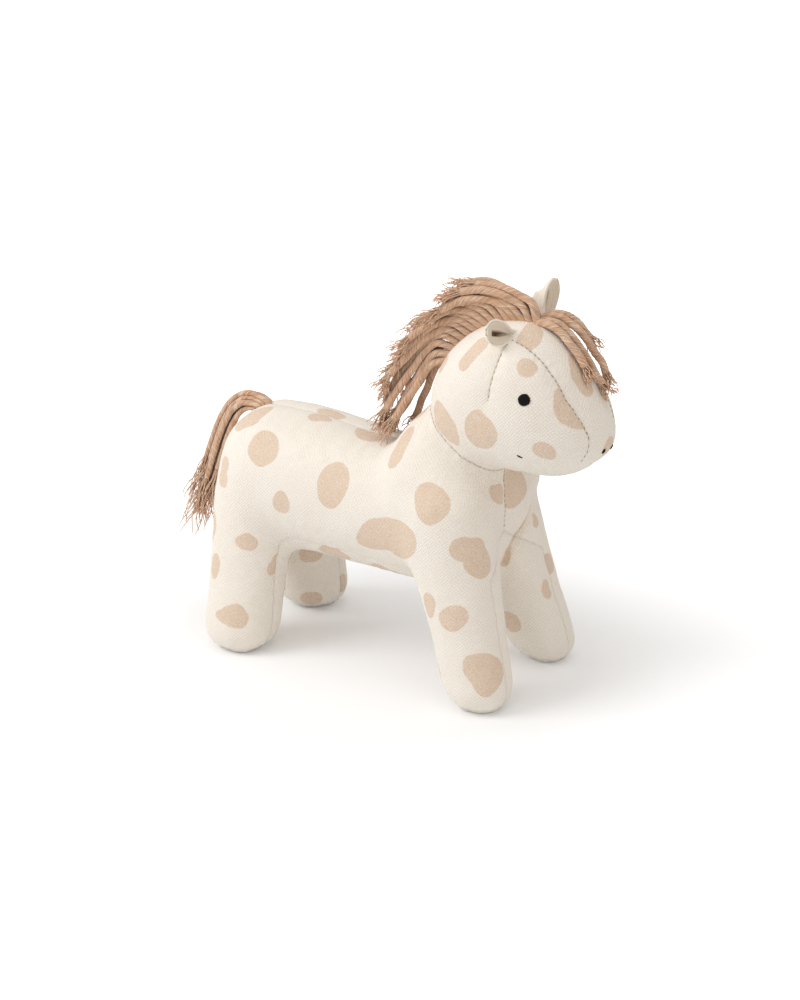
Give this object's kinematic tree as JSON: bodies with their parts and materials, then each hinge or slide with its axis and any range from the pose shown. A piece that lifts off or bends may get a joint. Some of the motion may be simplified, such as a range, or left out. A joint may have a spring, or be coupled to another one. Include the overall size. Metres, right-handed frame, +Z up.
{
  "type": "plush horse",
  "caption": "Stuffed canvas horse standing on splayed legs, with a big round head, embroidered face, upright ears, and a mane, forelock and tail of yarn cord.",
  "frame": {"origin": "on the ground under the middle of the horse's box, tail to nose and right to left", "axes": "+X forward to the nose, +Y to the horse's left, +Z up"},
  "size_m": [0.2842, 0.1194, 0.2271],
  "materials": {
    "canvas": "cream cotton canvas with a printed pattern of tan spots, matt, slightly fuzzy",
    "ear_lining": "plain greyish cream cotton, matt",
    "stuffing": "loose white polyester fibre",
    "black_thread": "black embroidery thread in satin stitch",
    "yarn": "tan braided cotton cord, matt, ends frayed"
  },
  "bodies": {
    "body": {"body_panel_right": "canvas", "body_panel_left": "canvas", "belly_gusset": "canvas", "sole_front_right": "canvas", "sole_front_left": "canvas", "sole_rear_right": "canvas", "sole_rear_left": "canvas", "chest_filling": "stuffing", "rump_filling": "stuffing", "leg_filling_front_right": "stuffing", "leg_filling_front_left": "stuffing", "leg_filling_rear_right": "stuffing", "leg_filling_rear_left": "stuffing"},
    "head": {"head_panel_right": "canvas", "head_panel_left": "canvas", "forehead_gusset": "canvas", "head_filling": "stuffing", "eye_right": "black_thread", "eye_left": "black_thread", "nostril_right": "black_thread", "nostril_left": "black_thread", "mouth_stitch_right": "black_thread", "mouth_stitch_left": "black_thread"},
    "ear_right": {"ear_right_outer": "canvas", "ear_right_lining": "ear_lining"},
    "ear_left": {"ear_left_outer": "canvas", "ear_left_lining": "ear_lining"},
    "mane": {"mane_cord_right_1": "yarn", "mane_cord_right_2": "yarn", "mane_cord_right_3": "yarn", "mane_cord_right_4": "yarn", "mane_cord_right_5": "yarn", "mane_cord_right_6": "yarn", "mane_cord_right_7": "yarn", "mane_cord_right_8": "yarn", "mane_cord_right_9": "yarn", "mane_cord_right_10": "yarn", "mane_cord_left_1": "yarn", "mane_cord_left_2": "yarn", "mane_cord_left_3": "yarn", "mane_cord_left_4": "yarn", "mane_cord_left_5": "yarn", "mane_cord_left_6": "yarn", "mane_cord_left_7": "yarn", "mane_cord_left_8": "yarn", "mane_cord_left_9": "yarn", "mane_cord_left_10": "yarn"},
    "forelock": {"forelock_cord_1": "yarn", "forelock_cord_2": "yarn", "forelock_cord_3": "yarn", "forelock_cord_4": "yarn"},
    "tail": {"tail_cord_1": "yarn", "tail_cord_2": "yarn", "tail_cord_3": "yarn", "tail_cord_4": "yarn", "tail_cord_5": "yarn"}
  },
  "joints": [
    {"name": "head_turn", "type": "hinge", "parent": "body", "child": "head", "pos_m": [0.0564, 0, 0.142], "axis": [0.6114, 0, 0.7913], "range_deg": [-12, 12], "stiffness_Nm_per_rad": 0.25},
    {"name": "ear_right_fold", "type": "hinge", "parent": "head", "child": "ear_right", "pos_m": [0.0811, -0.021, 0.2029], "axis": [0, 0.4515, 0.8923], "range_deg": [-10, 10], "stiffness_Nm_per_rad": 0.001},
    {"name": "ear_left_fold", "type": "hinge", "parent": "head", "child": "ear_left", "pos_m": [0.0811, 0.021, 0.2029], "axis": [0, 0.9487, -0.3162], "range_deg": [-10, 10], "stiffness_Nm_per_rad": 0.001},
    {"name": "mane_sway", "type": "hinge", "parent": "head", "child": "mane", "pos_m": [0.0661, 0, 0.1841], "axis": [-0.7592, 0, -0.6508], "range_deg": [-8, 8], "stiffness_Nm_per_rad": 0.01},
    {"name": "forelock_lift", "type": "hinge", "parent": "head", "child": "forelock", "pos_m": [0.0992, 0, 0.2088], "axis": [0, -1, 0], "range_deg": [0, 60]},
    {"name": "tail_lift", "type": "hinge", "parent": "body", "child": "tail", "pos_m": [-0.0728, 0, 0.1384], "axis": [0, 1, 0], "range_deg": [0, 60]}
  ]
}
